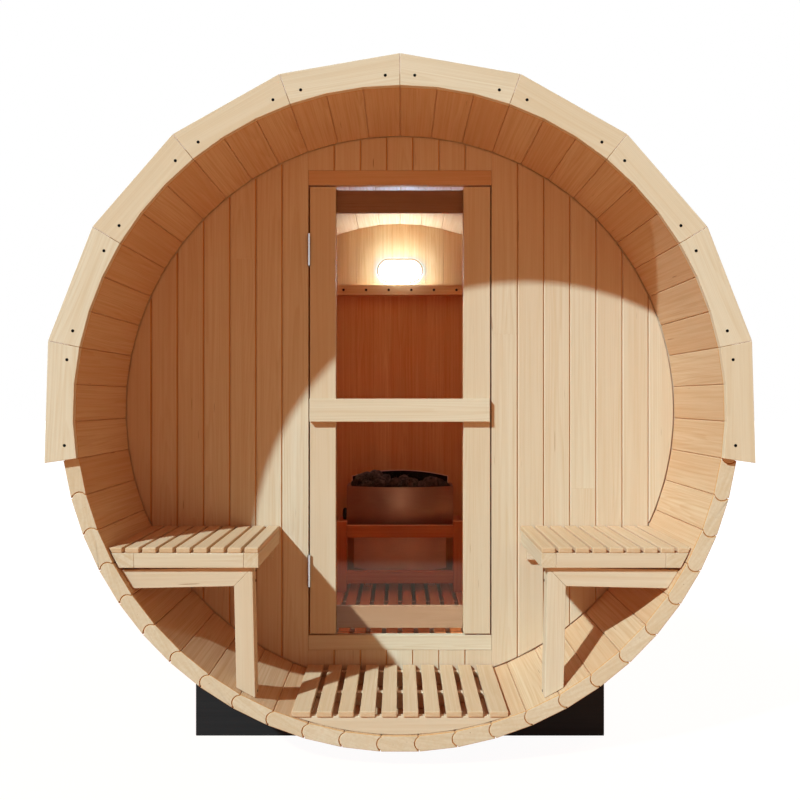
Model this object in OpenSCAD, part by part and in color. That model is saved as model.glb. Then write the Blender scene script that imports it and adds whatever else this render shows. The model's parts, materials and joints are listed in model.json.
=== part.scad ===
// Barrel sauna: coved staves held by steel bands, two plank walls let into the staves,
// an open porch with two benches, a glazed door and a small heater behind a guard.
// Millimetres. The origin is on the ground under the middle of the barrel, the porch
// faces -Y and +Z is up.

/* [Barrel] */
// Outside size across the flats of the staves
barrel_d = 1800; // [1740:10:2100]
// Length of the staves
barrel_l = 1800; // [1700:10:2400]
// Number of staves, odd so that a joint lies at the top
stave_count = 55; // [51:2:59]
// Thickness of the staves
stave_t = 42; // [38:1:46]
// Flat left on a stave's edge inside and outside its bead
bead_land = 3; // [2.5:0.1:4]
// Clear height under the barrel
ground_gap = 55; // [30:1:90]

/* [Bands and trim] */
// Width of a steel band
band_w = 25; // [18:1:40]
// Thickness of a steel band
band_t = 1.2; // [0.8:0.1:2]
// Thickness of the trim boards on the stave ends
trim_t = 18; // [14:1:28]
// How far the corners of the trim stand out from the staves
trim_reach = 44; // [30:1:70]
// Trim boards on each side of the top
trim_boards = 5; // [3:1:5]
// Staves that one trim board covers
trim_staves = 3; // [2:1:3]

/* [Cradles] */
// Length of a cradle across the barrel
cradle_l = 1200; // [1000:10:1400]
// Thickness of a cradle
cradle_t = 90; // [60:1:120]
// Height of a cradle at its ends
cradle_h = 255; // [200:1:260]
// Distance from the end of the barrel to a cradle
cradle_inset = 239; // [150:1:280]

/* [Walls] */
// Depth of the open porch
porch_l = 400; // [380:5:480]
// How far the staves run past the back wall
rear_overhang = 60; // [40:1:120]
// Thickness of the plank walls
wall_t = 42; // [38:1:48]
// Depth of the groove in the staves that holds a wall
groove_depth = 12; // [8:1:16]
// Width of the step round a wall's outer face, which leaves a dark line beside the staves
wall_step_w = 3; // [2:0.5:5]
// Depth of that step
wall_step_d = 5; // [4:1:16]
// Height of the boards over and under the doorway
header_h = 46; // [36:1:60]
// Thickness of the boards over and under the doorway
header_t = 24; // [18:1:30]

/* [Door] */
// Width of the doorway
doorway_w = 574; // [540:1:600]
// Height of the wall over the doorway's header, up to the staves
over_door_h = 107; // [80:1:150]
// Clearance round the door
door_gap = 5; // [4.5:0.5:7]
// Clearance at the free edge of the door, wider so that its back corner swings past
free_gap = 7; // [7:0.5:10]
// Width of the door's stiles
stile_w = 81; // [60:1:90]
// Height of the rails behind the glass
rail_h = 70; // [50:1:100]
// Thickness of the glass
glass_t = 6; // [5:0.5:8]
// Depth of the glass behind the face of the door
glass_recess = 16; // [14:1:18]
// Height of the handle board
handle_h = 72; // [50:1:100]
// Thickness of the handle board
handle_t = 18; // [14:1:24]
// Height of a hinge
hinge_h = 100; // [76:1:127]
// Distance of the hinges from the ends of the door
hinge_inset = 198; // [120:1:260]

/* [Floors] */
// Height of the floor slats over the lowest point inside the barrel
floor_h = 63; // [55:1:75]
// Width of the slats at the edges of a floor
floor_edge_slat_w = 50; // [35:1:55]
// Gap between floor slats
floor_slat_gap = 16.5; // [10:0.5:20]
// Thickness of the floor slats
floor_slat_t = 15; // [12:1:20]
// Slats on each side of the middle
floor_half_count = 5; // [4:1:5]

/* [Benches] */
// Height of the seat over the floor
seat_h = 434; // [380:1:460]
// Distance from the middle of the porch to a bench
bench_edge_x = 377; // [360:1:420]
// Width of a seat slat
seat_slat_w = 37; // [30:1:50]
// Thickness of a seat slat
seat_slat_t = 15; // [12:1:22]
// Gap between seat slats
seat_slat_gap = 8.4; // [6:0.2:14]
// Side of the square rails under the seat
seat_rail = 39; // [30:1:45]
// Side of the square leg and of the beam mitred to it
leg_w = 50; // [40:1:60]
// Lean of the leg and its beam in degrees
leg_lean = 1.25; // [0.5:0.25:2]
// Thickness of the ledger on the wall
ledger_t = 18; // [14:1:30]

/* [Heater] */
// Width of the heater's casing
casing_w = 476; // [420:2:480]
// Depth of the heater's casing
casing_d = 213; // [190:1:230]
// Height of the casing
casing_h = 180; // [150:1:200]
// Width of the heater's base
base_w = 416; // [360:1:430]
// Height of the rim over the floor
heater_h = 443; // [420:1:480]
// Height of the curved shield over the rim
shield_rise = 58; // [40:1:80]
// Sheet thickness of the casing and the shield
sheet_t = 3; // [2:0.5:5]
// Height of the guard's posts
guard_h = 303; // [260:1:340]
// Side of the guard's square posts
guard_post = 50; // [40:1:50]
// How far the guard's posts stand in front of the casing's sides
guard_lap = 8; // [0:1:20]

/* [Lamp] */
// Length of the oval lamp
lamp_l = 216; // [180:1:240]
// Height of the oval lamp
lamp_h = 115; // [90:1:125]
// Distance of the lamp's middle below the staves
lamp_drop = 222; // [200:1:260]

/* [Hidden] */
$fn = 96;

// Finishes
pine = "burlywood";
pale_pine = "wheat";
black_paint = [0.1, 0.1, 0.1];
steel = "silver";
bronze_glass = [0.45, 0.27, 0.17, 0.5];
stone_grey = [0.28, 0.26, 0.25];
opal = "ivory";

// Common clearances: a joint between two pieces, a seat on a curved face, and the overrun of a cut
joint = 0.4;
seat_clear = 0.5;
overrun = 20;

// Barrel
outer_r = barrel_d / 2;
inner_r = outer_r - stave_t;
axis_z = ground_gap + outer_r;
stave_a = 360 / stave_count;
half_a = stave_a / 2;
outer_corner_r = outer_r / cos(half_a);
inner_corner_r = inner_r / cos(half_a);
half_count = (stave_count - 1) / 2;
bottom_share = 0.2;
bottom_last = floor(half_count * bottom_share);
lower_last = bottom_last + floor((half_count - bottom_last) / 2);
bead_half = stave_t / 2 - bead_land;
bead_depth_share = 0.6;
bead_depth = bead_half * bead_depth_share;
bead_r = (bead_half * bead_half + bead_depth * bead_depth) / (2 * bead_depth);
bead_inset = bead_r - bead_depth;
bead_mid_r = (inner_r + outer_r) / 2 / cos(half_a);
bead_centre = [
    bead_inset * cos(half_a) - bead_mid_r * sin(half_a),
    -bead_inset * sin(half_a) - bead_mid_r * cos(half_a)
];

// Stations along the barrel
front_y = -barrel_l / 2;
rear_y = barrel_l / 2;
wall_y = front_y + porch_l;
cabin_y = wall_y + wall_t;
back_outer_y = rear_y - rear_overhang;
back_y = back_outer_y - wall_t;
groove_bottom_r = inner_r + groove_depth;
wall_r = groove_bottom_r - joint;
wall_face_r = inner_r - wall_step_w;

// Bands
band_r = outer_corner_r + joint;
lug_h = 24;
lug_w_share = 0.8;
lug_w = band_w * lug_w_share;
lug_t = 6;
lug_gap = 44;
lug_bolt_r = 4;
lug_angle = 40;
band_ys = [wall_y + wall_t / 2, 0, back_y + wall_t / 2];

// Trim
trim_r = outer_r + trim_reach;
trim_joint_a = joint / 2 / inner_r * 180 / PI;

// Doorway and door
doorway_h = 2 * (inner_r - over_door_h - header_h);
door_left = -doorway_w / 2 + door_gap;
door_right = doorway_w / 2 - free_gap;
pane_left = door_left + stile_w;
pane_right = door_right - stile_w;
door_h = doorway_h - 2 * door_gap;
door_t = wall_t - door_gap;
door_back_y = wall_y + door_t;
hinge_offset = door_h / 2 - hinge_inset;
doorway_top_z = axis_z + doorway_h / 2;
doorway_bottom_z = axis_z - doorway_h / 2;
glass_y = wall_y + glass_recess;
glass_back_y = glass_y + glass_t;
glass_edge = 10;
glass_clear = 0.3;
glass_inset = 2;
rail_inset = 6;
foot_rail_inset = 12;
rail_y = glass_back_y + glass_clear;
stop_lap = 12;
stop_w = 40;
stop_t = 20;
hinge_t = 2;
hinge_leaf_w = 32;
knuckle_r = 5;
pin_r = 2.5;
pin_clear = 0.05;
pin_proud = 6;
knuckle_gap = 0.5;
pin_x = -(doorway_w - door_gap) / 2;
pin_y = wall_y - pin_proud;

// Floors
floor_top_z = axis_z - inner_r + floor_h;
floor_bottom_z = floor_top_z - floor_slat_t;
floor_lap = 1;
floor_half_w = doorway_w / 2 + floor_lap;
floor_pitch = (floor_half_w - floor_slat_gap / 2 - floor_edge_slat_w) / (floor_half_count - 1);
floor_slat_w = floor_pitch - floor_slat_gap;
floor_end_gap = 4;
bearer_t = 20;
bearer_setback = 4;

// Benches
seat_top_z = floor_top_z + seat_h;
seat_bottom_z = seat_top_z - seat_slat_t;
seat_rail_bottom_z = seat_bottom_z - seat_rail;
seat_pitch = seat_slat_w + seat_slat_gap;
bench_clear = 3;
bench_setback = 10;
bench_front_y = front_y + bench_setback;
bench_back_y = wall_y - joint;
bench_reach = sqrt(pow(inner_r - bench_clear, 2) - pow(seat_top_z - axis_z, 2));
seat_count = ceil((bench_reach - bench_edge_x) / seat_pitch);
rail_reach = sqrt(pow(inner_r - bench_clear, 2) - pow(seat_rail_bottom_z - axis_z, 2));
outer_rail_w = seat_rail;
outer_rail_x = rail_reach - outer_rail_w;
leg_inset = 18;
leg_setback = 12;
leg_clear = 0.3;
ledger_x = bench_edge_x + leg_inset;

// Heater and its guard
heater_back_gap = 40;
heater_back_y = back_y - heater_back_gap;
rim_z = floor_top_z + heater_h;
casing_arc_share = 1.08;
casing_arc_r = casing_w * casing_arc_share;
base_arc_share = 0.74;
base_arc_r = base_w * base_arc_share;
base_d_share = 0.93;
base_d = casing_d * base_d_share;
bowl_depth_share = 0.75;
bowl_depth = casing_h * bowl_depth_share;
foot_h = 70;
foot_r = 12;
foot_x = floor_slat_gap / 2 + 2 * floor_pitch + floor_slat_w / 2;
foot_shares = [0.25, 0.75];
foot_ys = [for (share = foot_shares) heater_back_y - base_d * share];
shield_w_share = 0.92;
shield_w = casing_w * shield_w_share;
shield_arc_share = 1.15;
shield_arc_r = shield_w * shield_arc_share;
shield_root = 60;
shield_crown = 22;
shield_crown_r = (pow(shield_w / 2, 2) + pow(shield_crown, 2)) / (2 * shield_crown);
stone_drop = 10;
dial_drop_share = 0.72;
dial_z = rim_z - casing_h * dial_drop_share;
dial_r = 27;
dial_t = 20;
guard_w = casing_w - 2 * guard_lap;
guard_gap = 22;
guard_y = heater_back_y - casing_d - guard_gap - guard_post;
guard_rail_h = 51;
guard_rail_t = 34;
guard_top_drop = 19;
guard_low_rise = 35;

// Lamp and the rail under it
lamp_base_t = 16;
lamp_lip = 9;
lamp_glass_r = lamp_h / 2 - lamp_lip;
lamp_z = axis_z + inner_r - lamp_drop;
wall_rail_h = 48;
wall_rail_t = 45;
lamp_clear = 11;
wall_rail_top_z = lamp_z - lamp_h / 2 - lamp_clear;
wall_rail_reach = sqrt(pow(inner_r - bench_clear, 2) - pow(wall_rail_top_z - axis_z, 2));

// A point at radius r, a degrees clockwise from the top
function polar(r, a) = [r * sin(a), r * cos(a)];

// A box given by its two corners
module box(low, high) translate(low) cube(high - low);

// A flat outline drawn in X and Z, made a plate from y0 to y1
module plate(y0, y1) translate([0, y1, 0]) rotate([90, 0, 0]) linear_extrude(y1 - y0) children();

// The same, drawn about the barrel's axis
module plate_on_axis(y0, y1) translate([0, 0, axis_z]) plate(y0, y1) children();

// Keeps what lies inside the staves, less a clearance
module fitted_in_barrel(clear) {
    intersection() {
        children();
        plate_on_axis(front_y - overrun, rear_y + overrun) circle(inner_r - clear, $fn = 180);
    }
}

// Staves
module bead(grow) translate(bead_centre) circle(bead_r + grow);

module stave_profile() {
    inner_half = inner_r * tan(half_a);
    outer_half = outer_r * tan(half_a);
    difference() {
        union() {
            polygon([
                [-inner_half, -inner_r], [-outer_half, -outer_r],
                [outer_half - joint, -outer_r], [inner_half - joint, -inner_r]
            ]);
            bead(0);
        }
        rotate(stave_a) bead(joint);
    }
}

module wall_groove(y) {
    box([-inner_r * stave_a, y - joint, -groove_bottom_r], [inner_r * stave_a, y + wall_t + joint, 0]);
}

module stave() {
    difference() {
        plate(front_y, rear_y) stave_profile();
        wall_groove(wall_y);
        wall_groove(back_y);
    }
}

module staves(first, last) {
    color(pine) translate([0, 0, axis_z])
        for (i = [first : last]) rotate([0, -i * stave_a, 0]) stave();
}

module bottom_staves() staves(-bottom_last, bottom_last);
module right_lower_staves() staves(bottom_last + 1, lower_last);
module right_upper_staves() staves(lower_last + 1, half_count);
module left_lower_staves() staves(-lower_last, -bottom_last - 1);
module left_upper_staves() staves(-half_count, -lower_last - 1);

// Steel bands, each drawn tight by a bolt through two lugs
module band_lug(x) {
    box([x - lug_t / 2, -lug_w / 2, -band_r - lug_h], [x + lug_t / 2, lug_w / 2, -band_r - band_t / 2]);
}

module band() {
    difference() {
        plate(-band_w / 2, band_w / 2) circle(band_r + band_t, $fn = 180);
        plate(-band_w, band_w) circle(band_r, $fn = 180);
    }
    rotate([0, -lug_angle, 0]) {
        band_lug(-lug_gap / 2);
        band_lug(lug_gap / 2);
        translate([-lug_gap / 2 - 2 * lug_t, 0, -band_r - lug_h / 2])
            rotate([0, 90, 0]) cylinder(r = lug_bolt_r, h = lug_gap + 4 * lug_t);
    }
}

module steel_bands() color(steel) for (y = band_ys) translate([0, y, axis_z]) band();

// Trim boards on the ends of the upper staves
module trim_board(first) {
    last = first + trim_staves;
    polygon(concat(
        [polar(trim_r, first * stave_a + trim_joint_a), polar(trim_r, last * stave_a - trim_joint_a)],
        [polar(inner_corner_r, last * stave_a - trim_joint_a)],
        [for (j = [last - 1 : -1 : first + 1]) polar(inner_corner_r, j * stave_a)],
        [polar(inner_corner_r, first * stave_a + trim_joint_a)]
    ));
}

module trim(y0) {
    color(pale_pine) for (n = [0 : trim_boards - 1], side = [0, 1])
        mirror([side, 0, 0]) plate_on_axis(y0, y0 + trim_t) trim_board(n * trim_staves);
}

module front_trim() trim(front_y - trim_t);
module rear_trim() trim(rear_y);

// Cradles, hollowed to the barrel
module cradle() {
    color(black_paint) difference() {
        box([-cradle_l / 2, -cradle_t / 2, 0], [cradle_l / 2, cradle_t / 2, cradle_h]);
        plate_on_axis(-cradle_t, cradle_t) circle(outer_corner_r + joint, $fn = 180);
    }
}

module front_cradle() translate([0, front_y + cradle_inset + cradle_t / 2, 0]) cradle();
module rear_cradle() translate([0, rear_y - cradle_inset - cradle_t / 2, 0]) cradle();

// Walls: stepped discs let into the staves, the front one split round the doorway
module wall_outline(r, low, high) {
    intersection() {
        circle(r, $fn = 180);
        translate(low) square(high - low);
    }
}

module wall_part(low, high) {
    color(pine) {
        plate_on_axis(wall_y, cabin_y) wall_outline(wall_face_r, low, high);
        plate_on_axis(wall_y + wall_step_d, cabin_y) wall_outline(wall_r, low, high);
    }
}

module front_wall_left() wall_part([-wall_r - overrun, -wall_r - overrun], [-doorway_w / 2, wall_r + overrun]);
module front_wall_right() wall_part([doorway_w / 2, -wall_r - overrun], [wall_r + overrun, wall_r + overrun]);

module front_wall_over_door() {
    wall_part(
        [-doorway_w / 2 + joint, doorway_h / 2 + header_h + joint],
        [doorway_w / 2 - joint, wall_r + overrun]
    );
}

module front_wall_under_door() {
    wall_part(
        [-doorway_w / 2 + joint, -wall_r - overrun],
        [doorway_w / 2 - joint, -doorway_h / 2 - header_h - joint]
    );
}

module cross_board(z) {
    color(pine) box(
        [-doorway_w / 2 + joint, wall_y, z],
        [doorway_w / 2 - joint, wall_y + header_t, z + header_h]
    );
}

module door_header() cross_board(doorway_top_z);
module door_sill() cross_board(doorway_bottom_z - header_h);

module door_stops() {
    color(pine) for (side = [0, 1]) mirror([side, 0, 0])
        box(
            [doorway_w / 2 - stop_lap, cabin_y, doorway_bottom_z],
            [doorway_w / 2 - stop_lap + stop_w, cabin_y + stop_t, doorway_top_z]
        );
}

module back_wall() {
    color(pine) {
        plate_on_axis(back_y, back_outer_y) circle(wall_face_r, $fn = 180);
        plate_on_axis(back_y, back_outer_y - wall_step_d) circle(wall_r, $fn = 180);
    }
}

module back_wall_rail() {
    color(pine) fitted_in_barrel(bench_clear)
        box(
            [-wall_rail_reach, back_y - wall_rail_t, wall_rail_top_z - wall_rail_h],
            [wall_rail_reach, back_y, wall_rail_top_z]
        );
}

// Hinges: the outer knuckles and the pin stay on the wall, the middle knuckle swings
module knuckle(part) {
    step = hinge_h / 3;
    translate([pin_x, pin_y, part * step + knuckle_gap / 2]) cylinder(r = knuckle_r, h = step - knuckle_gap);
}

module hinge_neck(x, part) {
    step = hinge_h / 3;
    box(
        [x, pin_y, part * step + knuckle_gap / 2],
        [x + hinge_t, wall_y + hinge_t, (part + 1) * step - knuckle_gap / 2]
    );
}

module hinge_plate(x) box([x, wall_y, 0], [x + hinge_t, wall_y + hinge_leaf_w, hinge_h]);

module wall_leaf() {
    x = -doorway_w / 2;
    hinge_plate(x);
    for (part = [0, 2]) {
        knuckle(part);
        hinge_neck(x, part);
    }
    translate([pin_x, pin_y, 0]) cylinder(r = pin_r, h = hinge_h);
}

module door_leaf() {
    x = door_left - hinge_t;
    difference() {
        union() {
            hinge_plate(x);
            knuckle(1);
            hinge_neck(x, 1);
        }
        translate([pin_x, pin_y, -overrun]) cylinder(r = pin_r + pin_clear, h = hinge_h + 2 * overrun);
    }
}

module at_hinges() {
    for (side = [-1, 1]) translate([0, 0, axis_z + side * hinge_offset - hinge_h / 2]) children();
}

module wall_hinge_leaves() color(steel) at_hinges() wall_leaf();
module door_hinge_leaves() color(steel) at_hinges() door_leaf();

// Door: stiles grooved for the glass, rails behind it and a handle board across the front
module stile(x, groove_x) {
    color(pine) difference() {
        box([x, wall_y, axis_z - door_h / 2], [x + stile_w, door_back_y, axis_z + door_h / 2]);
        box(
            [groove_x, glass_y - glass_clear, axis_z - door_h],
            [groove_x + glass_edge + overrun, glass_back_y + glass_clear, axis_z + door_h]
        );
    }
}

module door_hinge_stile() stile(door_left, pane_left - glass_edge);
module door_free_stile() stile(pane_right, pane_right - overrun);

module door_rail(z) {
    color(pine) box([pane_left + joint, rail_y, z], [pane_right - joint, door_back_y, z + rail_h]);
}

module door_top_rail() door_rail(axis_z + door_h / 2 - rail_inset - rail_h);
module door_bottom_rail() door_rail(axis_z - door_h / 2 + foot_rail_inset);

module door_glass() {
    reach = glass_edge - glass_clear;
    half_h = door_h / 2 - glass_inset;
    color(bronze_glass) box(
        [pane_left - reach, glass_y, axis_z - half_h],
        [pane_right + reach, glass_back_y, axis_z + half_h]
    );
}

module door_handle() {
    color(pale_pine) box(
        [door_left, wall_y - handle_t, axis_z - handle_h / 2],
        [door_right, wall_y, axis_z + handle_h / 2]
    );
}

// Slatted floors on bearers cut to the barrel
module floor_slats(y0, y1) {
    color(pale_pine) for (side = [0, 1]) mirror([side, 0, 0])
        for (i = [0 : floor_half_count - 1]) {
            x = floor_slat_gap / 2 + i * floor_pitch;
            w = i == floor_half_count - 1 ? floor_edge_slat_w : floor_slat_w;
            fitted_in_barrel(seat_clear) box([x, y0, floor_bottom_z], [x + w, y1, floor_top_z]);
        }
}

module floor_bearers(ys) {
    color(pine) for (y = ys) fitted_in_barrel(seat_clear)
        box([-floor_half_w, y, axis_z - inner_r], [floor_half_w, y + bearer_t, floor_bottom_z]);
}

module porch_floor_slats() floor_slats(front_y + bearer_setback, wall_y - floor_end_gap);

module porch_floor_bearers() {
    first = front_y + 2 * bearer_setback;
    last = wall_y - floor_end_gap - bearer_setback - bearer_t;
    floor_bearers([first, (first + last) / 2, last]);
}

module cabin_floor_slats() floor_slats(cabin_y + floor_end_gap, back_y - floor_end_gap);

module cabin_floor_bearers() {
    first = cabin_y + floor_end_gap + bearer_setback;
    last = back_y - floor_end_gap - bearer_setback - bearer_t;
    floor_bearers([for (n = [0 : 3]) first + (last - first) * n / 3]);
}

// Benches, drawn on the right and mirrored to the left
module bench_seat() {
    color(pale_pine) fitted_in_barrel(bench_clear) for (i = [0 : seat_count - 1]) {
        x = bench_edge_x + i * seat_pitch;
        box([x, bench_front_y, seat_bottom_z], [x + seat_slat_w, bench_back_y, seat_top_z]);
    }
}

module bench_rail(x0, x1, y0, y1) {
    fitted_in_barrel(bench_clear) box([x0, y0, seat_rail_bottom_z], [x1, y1, seat_bottom_z]);
}

module bench_ledger() {
    fitted_in_barrel(bench_clear) box(
        [ledger_x, wall_y - ledger_t, seat_rail_bottom_z - leg_clear - leg_w],
        [inner_r, wall_y, seat_rail_bottom_z - leg_clear]
    );
}

module bench_frame() {
    cross_x0 = bench_edge_x + seat_rail + joint;
    cross_x1 = outer_rail_x - joint;
    color(pine) {
        bench_rail(bench_edge_x, bench_edge_x + seat_rail, bench_front_y, bench_back_y);
        bench_rail(outer_rail_x, inner_r, bench_front_y, bench_back_y);
        bench_rail(cross_x0, cross_x1, bench_front_y, bench_front_y + seat_rail);
        bench_rail(cross_x0, cross_x1, bench_back_y - seat_rail, bench_back_y);
        bench_ledger();
    }
}

// The beam and the leg meet in a mitre at the origin and lean outwards together
module bench_beam_outline() polygon([[joint, 0], [inner_r, 0], [inner_r, -leg_w], [leg_w + joint, -leg_w]]);
module bench_leg_outline() polygon([[0, 0], [leg_w, -leg_w], [leg_w, -inner_r], [0, -inner_r]]);

module bench_leg_part() {
    y0 = bench_front_y + leg_setback;
    fitted_in_barrel(seat_clear)
        translate([bench_edge_x + leg_inset, 0, seat_rail_bottom_z - leg_clear])
            plate(y0, y0 + leg_w) rotate(-leg_lean) children();
}

module bench_leg() {
    color(pine) {
        bench_leg_part() bench_beam_outline();
        bench_leg_part() bench_leg_outline();
    }
}

module right_bench_seat() bench_seat();
module right_bench_frame() bench_frame();
module right_bench_leg() bench_leg();
module left_bench_seat() mirror([1, 0, 0]) bench_seat();
module left_bench_frame() mirror([1, 0, 0]) bench_frame();
module left_bench_leg() mirror([1, 0, 0]) bench_leg();

// Heater: plan outlines have a flat back at y = 0 and a bowed front
module bowed_plan(w, d, r) {
    intersection() {
        translate([-w / 2, -d]) square([w, d]);
        translate([0, r - d]) circle(r, $fn = 180);
    }
}

module at_heater(z) translate([0, heater_back_y, z]) children();

module heater_casing() {
    color(steel) difference() {
        at_heater(rim_z - casing_h) linear_extrude(casing_h) bowed_plan(casing_w, casing_d, casing_arc_r);
        at_heater(rim_z - bowl_depth) translate([0, -sheet_t, 0]) linear_extrude(bowl_depth + overrun)
            bowed_plan(casing_w - 2 * sheet_t, casing_d - 2 * sheet_t, casing_arc_r - sheet_t);
    }
}

module heater_base() {
    base_z = floor_top_z + foot_h;
    color(steel) {
        at_heater(base_z) linear_extrude(rim_z - casing_h - base_z) bowed_plan(base_w, base_d, base_arc_r);
        for (x = [-foot_x, foot_x], y = foot_ys)
            translate([x, y, floor_top_z]) cylinder(r = foot_r, h = foot_h);
    }
}

// A bent plate that stands in the back of the casing
module heater_shield() {
    low = rim_z - shield_root;
    high = rim_z + shield_rise;
    color(steel) translate([0, heater_back_y - sheet_t - joint - shield_arc_r, low]) intersection() {
        difference() {
            cylinder(r = shield_arc_r, h = high - low, $fn = 180);
            translate([0, 0, -overrun])
                cylinder(r = shield_arc_r - sheet_t, h = high - low + 2 * overrun, $fn = 180);
        }
        box([-shield_w / 2, 0, 0], [shield_w / 2, shield_arc_r, high - low]);
        plate(0, shield_arc_r + overrun)
            translate([0, high - low - shield_crown_r]) circle(shield_crown_r, $fn = 360);
    }
}

module heater_dial() {
    color(black_paint) translate([-casing_w / 2, heater_back_y - casing_d / 2, dial_z])
        rotate([0, -90, 0]) cylinder(r = dial_r, h = dial_t);
}

// The bed of stones fills the bowl in front of the shield
module heater_stones() {
    inset = sheet_t + seat_clear;
    color(stone_grey) at_heater(rim_z - bowl_depth) linear_extrude(bowl_depth - stone_drop) intersection() {
        translate([0, -inset]) bowed_plan(casing_w - 2 * inset, casing_d - 2 * inset, casing_arc_r - inset);
        translate([0, -sheet_t - joint - shield_arc_r]) circle(shield_arc_r - inset, $fn = 180);
    }
}

module guard_post_at(x) {
    fitted_in_barrel(seat_clear)
        box([x, guard_y, floor_top_z], [x + guard_post, guard_y + guard_post, floor_top_z + guard_h]);
}

module guard_rails(z) {
    front = guard_y + (guard_post - guard_rail_t) / 2;
    side_x = guard_w / 2 + guard_post - guard_rail_t;
    box([-guard_w / 2 + joint, front, z], [guard_w / 2 - joint, front + guard_rail_t, z + guard_rail_h]);
    for (side = [0, 1]) mirror([side, 0, 0])
        box([side_x, guard_y + guard_post + joint, z], [side_x + guard_rail_t, back_y, z + guard_rail_h]);
}

module heater_guard() {
    color(pine) {
        guard_post_at(-guard_w / 2 - guard_post);
        guard_post_at(guard_w / 2);
        guard_rails(floor_top_z + guard_h - guard_top_drop - guard_rail_h);
        guard_rails(floor_top_z + guard_low_rise);
    }
}

// Oval lamp on the back wall
module oval(l, h) {
    translate([-(l - h) / 2, -h / 2]) square([l - h, h]);
    for (side = [-1, 1]) translate([side * (l - h) / 2, 0]) circle(d = h);
}

module lamp_base() {
    color(steel) translate([0, 0, lamp_z]) plate(back_y - lamp_base_t, back_y) oval(lamp_l, lamp_h);
}

// The front half of a capsule: a half cylinder with a quarter of a ball at each end
module lamp_glass() {
    straight = lamp_l - lamp_h;
    color(opal) translate([0, back_y - lamp_base_t, lamp_z]) {
        intersection() {
            rotate([0, 90, 0]) cylinder(r = lamp_glass_r, h = straight, center = true);
            box([-lamp_l, -lamp_h, -lamp_h], [lamp_l, 0, lamp_h]);
        }
        for (side = [0, 1]) mirror([side, 0, 0]) translate([straight / 2, 0, 0]) intersection() {
            sphere(lamp_glass_r);
            box([0, -lamp_h, -lamp_h], [lamp_h, 0, lamp_h]);
        }
    }
}

bottom_staves();
left_lower_staves();
left_upper_staves();
right_upper_staves();
right_lower_staves();
steel_bands();
front_trim();
rear_trim();
front_cradle();
rear_cradle();
front_wall_left();
front_wall_right();
front_wall_over_door();
front_wall_under_door();
door_header();
door_sill();
door_stops();
back_wall();
back_wall_rail();
wall_hinge_leaves();
door_hinge_leaves();
door_hinge_stile();
door_free_stile();
door_top_rail();
door_bottom_rail();
door_glass();
door_handle();
porch_floor_slats();
porch_floor_bearers();
cabin_floor_slats();
cabin_floor_bearers();
left_bench_seat();
left_bench_frame();
left_bench_leg();
right_bench_seat();
right_bench_frame();
right_bench_leg();
heater_casing();
heater_base();
heater_shield();
heater_dial();
heater_stones();
heater_guard();
lamp_base();
lamp_glass();
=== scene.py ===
# %% [markdown]
# # Dressing a barrel sauna
#
# The object is a barrel sauna of pine staves on two black cradles. It has an open porch with two benches,
# a glazed door, and a heater and a lamp that show through the glass. The solids come from the CAD model,
# already in metres and in place. This lesson gives them what a solid doesn't have: boards with eased edges
# and a grain of their own, screws, stones, brushed steel, tinted glass and light.
#
# The CAD model is loaded first.

# %% Load the solids
import json
import math
import random

import bmesh
import bpy
from mathutils import Matrix, Vector, noise

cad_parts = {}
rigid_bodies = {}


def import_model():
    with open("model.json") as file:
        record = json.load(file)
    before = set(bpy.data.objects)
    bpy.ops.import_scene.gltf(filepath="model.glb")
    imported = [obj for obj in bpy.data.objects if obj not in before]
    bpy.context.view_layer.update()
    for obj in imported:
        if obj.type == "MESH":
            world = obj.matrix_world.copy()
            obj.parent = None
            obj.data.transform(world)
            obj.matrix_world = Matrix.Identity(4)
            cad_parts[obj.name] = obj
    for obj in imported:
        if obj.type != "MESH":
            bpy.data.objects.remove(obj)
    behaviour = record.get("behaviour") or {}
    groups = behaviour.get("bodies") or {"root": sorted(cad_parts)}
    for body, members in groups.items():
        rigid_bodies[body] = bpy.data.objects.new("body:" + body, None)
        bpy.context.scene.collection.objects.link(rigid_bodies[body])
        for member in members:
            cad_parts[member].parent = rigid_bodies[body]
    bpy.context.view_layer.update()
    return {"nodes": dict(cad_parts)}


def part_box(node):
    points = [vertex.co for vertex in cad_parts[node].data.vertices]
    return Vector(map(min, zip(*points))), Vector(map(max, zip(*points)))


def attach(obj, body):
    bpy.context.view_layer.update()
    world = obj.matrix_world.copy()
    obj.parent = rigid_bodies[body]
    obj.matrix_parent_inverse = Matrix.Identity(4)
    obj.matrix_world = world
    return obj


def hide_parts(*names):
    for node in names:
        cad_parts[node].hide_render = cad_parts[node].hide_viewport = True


for leftover in list(bpy.data.objects):
    bpy.data.objects.remove(leftover)
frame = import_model()
scene = bpy.context.scene
scene.view_settings.view_transform = "Standard"

# %% [markdown]
# ## The camera
#
# The photograph is taken straight from the front, a little above the middle of the barrel. With a camera
# that looks level, upright lines stay upright, so the whole view is set by three numbers: how far away the
# lens is, how high it is, and its focal length. They were found from the sizes of the front and back circles.

# %% Place the camera
lens_place = Vector((0.0, -3.092, 0.987))
camera_data = bpy.data.cameras.new("front_camera")
camera_data.sensor_width = 36.0
camera_data.lens = 37.24
camera = bpy.data.objects.new("front_camera", camera_data)
camera.location = lens_place
camera.rotation_euler = (math.radians(90), 0, 0)
scene.collection.objects.link(camera)
scene.camera = camera
print("camera at", tuple(round(x, 3) for x in lens_place), "lens", round(camera_data.lens, 2))

# %% [markdown]
# ## Small tools for node trees
#
# A shader is a tree of boxes joined by threads. These helpers add one box each and give back the socket that
# carries its result, so that a pattern below reads like the sum that it is.


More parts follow.
